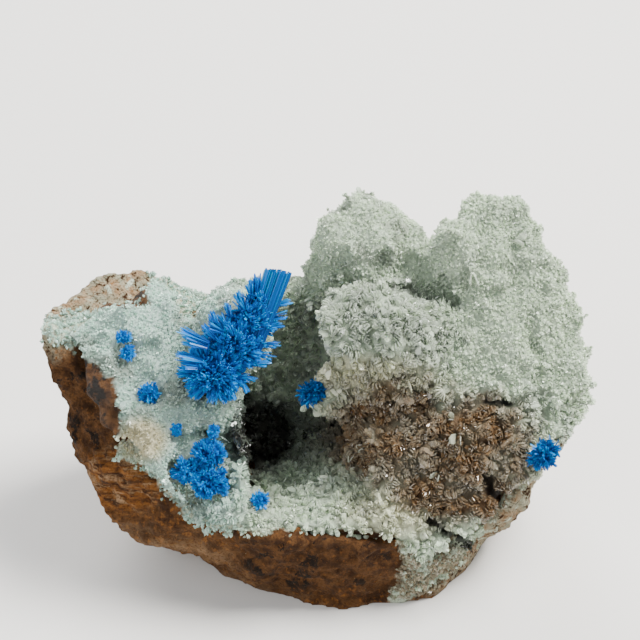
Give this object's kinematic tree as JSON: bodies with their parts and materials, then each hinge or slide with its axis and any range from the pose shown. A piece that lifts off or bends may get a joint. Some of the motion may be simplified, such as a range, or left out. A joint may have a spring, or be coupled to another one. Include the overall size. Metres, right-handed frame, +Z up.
{
  "type": "cavansite specimen",
  "caption": "Brown basalt matrix under a grey-green crystal druse with a hollow and towers, carrying vivid blue cavansite sprays.",
  "frame": {"origin": "middle of the outline seen from above, on the flat that the stone stands on", "axes": "+X along the length towards the towers, +Y away from the crystal display side, +Z up"},
  "size_m": [0.0594, 0.0348, 0.0383],
  "materials": {
    "basalt_matrix": "rough",
    "stilbite_druse": "vitreous",
    "cavansite_main_spray": "vitreous",
    "cavansite_lower_spray": "vitreous",
    "cavansite_hollow_ball": "vitreous",
    "cavansite_right_rosette": "vitreous",
    "cavansite_left_tuft_upper": "vitreous",
    "cavansite_left_tuft_lower": "vitreous",
    "cavansite_left_rosette": "vitreous",
    "cavansite_crevice_tuft": "vitreous",
    "cavansite_small_dot": "vitreous",
    "cavansite_front_tuft": "vitreous"
  },
  "bodies": {
    "root": {"basalt_matrix": "basalt_matrix", "stilbite_druse": "stilbite_druse", "cavansite_main_spray": "cavansite_main_spray", "cavansite_lower_spray": "cavansite_lower_spray", "cavansite_hollow_ball": "cavansite_hollow_ball", "cavansite_right_rosette": "cavansite_right_rosette", "cavansite_left_tuft_upper": "cavansite_left_tuft_upper", "cavansite_left_tuft_lower": "cavansite_left_tuft_lower", "cavansite_left_rosette": "cavansite_left_rosette", "cavansite_crevice_tuft": "cavansite_crevice_tuft", "cavansite_small_dot": "cavansite_small_dot", "cavansite_front_tuft": "cavansite_front_tuft"}
  },
  "joints": []
}
